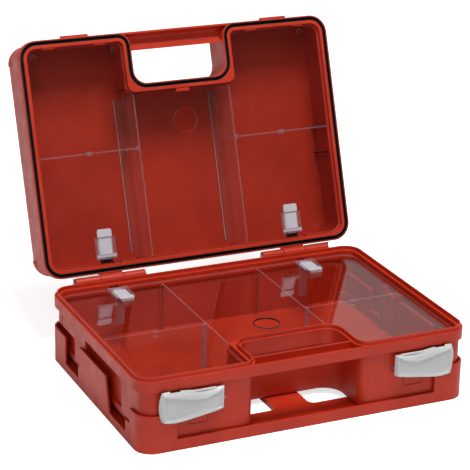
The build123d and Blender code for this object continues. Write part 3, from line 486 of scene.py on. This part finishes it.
def slab(name, place, x, y, z, edge, material, body):
    """A small block with rounded edges between two limits on each axis."""
    mesh = bpy.data.meshes.new(name)
    form = bmesh.new()
    bmesh.ops.create_cube(form, size=1)
    for corner in form.verts:
        side = [limits[0] if part < 0 else limits[1] for part, limits in zip(corner.co, (x, y, z))]
        corner.co = place(*side)
    bmesh.ops.bevel(form, geom=form.edges, offset=edge, segments=3, affect="EDGES")
    bmesh.ops.recalc_face_normals(form, faces=form.faces)
    form.to_mesh(mesh)
    form.free()
    keep(bpy.data.objects.new(name, mesh), material, body)


def make_cover_marks(materials):
    """Gate marks near the corners of the covers."""
    for number, (x, y) in enumerate(LID_MARKS):
        ring = arc(as_open, (x, y, LID_COVER_BOTTOM - PROUD), MARK_RADIUS, *LID_MARK_ARC)
        wire(f"lid_cover_mark_{number}", ring, MARK_WIRE, materials["lid_cover"], "lid_cover")
    for number, (x, y) in enumerate(BASE_MARKS):
        ring = arc(as_closed, (x, y, BASE_COVER_TOP + PROUD), MARK_RADIUS, *BASE_MARK_ARC)
        wire(f"base_cover_mark_{number}", ring, MARK_WIRE, materials["base_cover"], "base_cover")


def make_base_cover_painted_shade(materials):
    """Painted shade: dark rings on the inner wall of the base cover's finger hole, where internal
    reflection and shade make it look dark, and dark lines of painted shadow in the gaps beside the cover.
    """
    dark = materials["dark_edge"]
    last = 360 - 360 / (FINGER_RIM_STEPS + 1)
    for number, height in enumerate(FINGER_RIM_Z):
        centre = (0, FINGER_HOLE_Y, height)
        ring = arc(as_closed, centre, FINGER_HOLE_RADIUS - FINGER_RIM_WIRE, 0, last, FINGER_RIM_STEPS)
        wire(f"base_cover_finger_rim_shade_{number}", ring, FINGER_RIM_WIRE, dark, "base_cover", True)
    for side, x in (("left", -GAP_X), ("right", GAP_X)):
        line = [as_closed(x, y, BASE_COVER_TOP - PROUD) for y in GAP_Y]
        wire(f"base_cover_gap_shadow_{side}", line, GAP_WIRE, dark, "base_cover")


def make_divider_feet(materials):
    """The foot of each lid divider, on the lid's floor, and a pale frosted line that paints the highlight
    along its outer edge.
    """
    for side, x in FOOT_X.items():
        foot = materials["lid_divider_foot"]
        slab(f"lid_divider_foot_{side}", as_open, x, FOOT_Y, FOOT_Z, FOOT_EDGE, foot, "lid")
        line = [as_open(x[0], y, FOOT_LINE_Z) for y in FOOT_LINE_Y]
        wire(f"lid_divider_highlight_line_{side}", line, FOOT_LINE_WIRE, materials["frosted"], "lid")


def make_bolt_trim(materials):
    """A frosted bar over each lid bolt's end, a dark sheet of painted shade at the opening of its slot,
    and lines of painted shade along the rails' outer edges.
    """
    edge = materials["edge_line"]
    for side, x in (("left", -BOLT_X), ("right", BOLT_X)):
        bar_x = (x - BAR_REACH, x + BAR_REACH)
        frosted = materials["frosted"]
        slab(f"lid_bolt_bar_{side}", as_open, bar_x, BAR_Y, BAR_Z, BAR_EDGE, frosted, "lid_cover")
        slot_shade_x = (x + SLOT_SHADE_X[0], x + SLOT_SHADE_X[1])
        # painted shade: a dark sheet that stands for the shadow inside the slot's recess
        dark = materials["slot_shadow"]
        slot_shade_name = f"lid_bolt_slot_shade_{side}"
        slab(slot_shade_name, as_open, slot_shade_x, SLOT_SHADE_Y, SLOT_SHADE_Z, SLOT_SHADE_EDGE, dark, "lid_cover")
        # lines of painted shade along each rail's outer edges
        for pair, rail_x in enumerate((x - RAIL_REACH, x + RAIL_REACH)):
            lower = [as_closed(rail_x, y, BASE_COVER_TOP + RAIL_HEIGHT) for y in RAIL_Y]
            wire(f"base_rail_shade_line_{side}_{pair}", lower, RAIL_WIRE, edge, "base_cover")
            upper = [as_open(rail_x, y, LID_COVER_BOTTOM - RAIL_HEIGHT) for y in RAIL_Y]
            wire(f"lid_rail_shade_line_{side}_{pair}", upper, RAIL_WIRE, edge, "lid_cover")


# ---------------------------------------------------------------- stage
FLOOR_SIZE = 14.0
FLOOR_GLOW = 0.7  # what the floor's own light adds to the lamps' to make it white
FLOOR_REACH = (-0.2, 0.8)  # places over which its mirror image brightens, from front to back
FLOOR_MIRRORED = 0.65


def make_floor(height):
    mesh = bpy.data.meshes.new("floor")
    form = bmesh.new()
    bmesh.ops.create_grid(form, x_segments=4, y_segments=4, size=FLOOR_SIZE / 2)
    form.to_mesh(mesh)
    form.free()
    floor = bpy.data.objects.new("floor", mesh)
    bpy.context.scene.collection.objects.link(floor)
    floor.location.z = height
    material, tree, shader, place = start("floor")
    fine = noise(tree, place, 3, 2)
    colour = ramp(tree, fine, [(0.3, (0.80, 0.80, 0.80)), (0.7, (0.82, 0.82, 0.82))])
    tree.links.new(colour, shader.inputs["Base Color"])
    shader.inputs["Roughness"].default_value = 0.9
    shader.inputs["Specular IOR Level"].default_value = 0.0
    glow = tree.nodes.new("ShaderNodeEmission")
    glow.inputs["Color"].default_value = (1, 1, 1, 1)
    spot = tree.nodes.new("ShaderNodeSeparateXYZ")
    tree.links.new(place, spot.inputs[0])
    level = backdrop_level(tree, spot.outputs["Y"], FLOOR_REACH, 0.0, FLOOR_MIRRORED)
    tree.links.new(combine(tree, "MULTIPLY", level, None, FLOOR_GLOW), glow.inputs["Strength"])
    add = tree.nodes.new("ShaderNodeAddShader")
    tree.links.new(shader.outputs[0], add.inputs[0])
    tree.links.new(glow.outputs[0], add.inputs[1])
    tree.links.new(add.outputs[0], tree.nodes["Material Output"].inputs["Surface"])
    mesh.materials.append(material)


# ---------------------------------------------------------------- making
bpy.context.scene.view_settings.view_transform = "Standard"
make_camera()
make_world()
area_light("overhead", place=(0.1, -0.5, 2.4), target=(0, 0, 0.1), size=(0.9, 0.9), power=57)
area_light("left", place=(-1.5, -1.9, 2.2), target=(0, 0, 0.15), size=(1.2, 1.2), power=17)
materials = make_materials()
dress_nodes(materials)
make_cover_marks(materials)
make_base_cover_painted_shade(materials)
make_divider_feet(materials)
make_bolt_trim(materials)
make_floor(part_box("wall_bracket")[0].z)
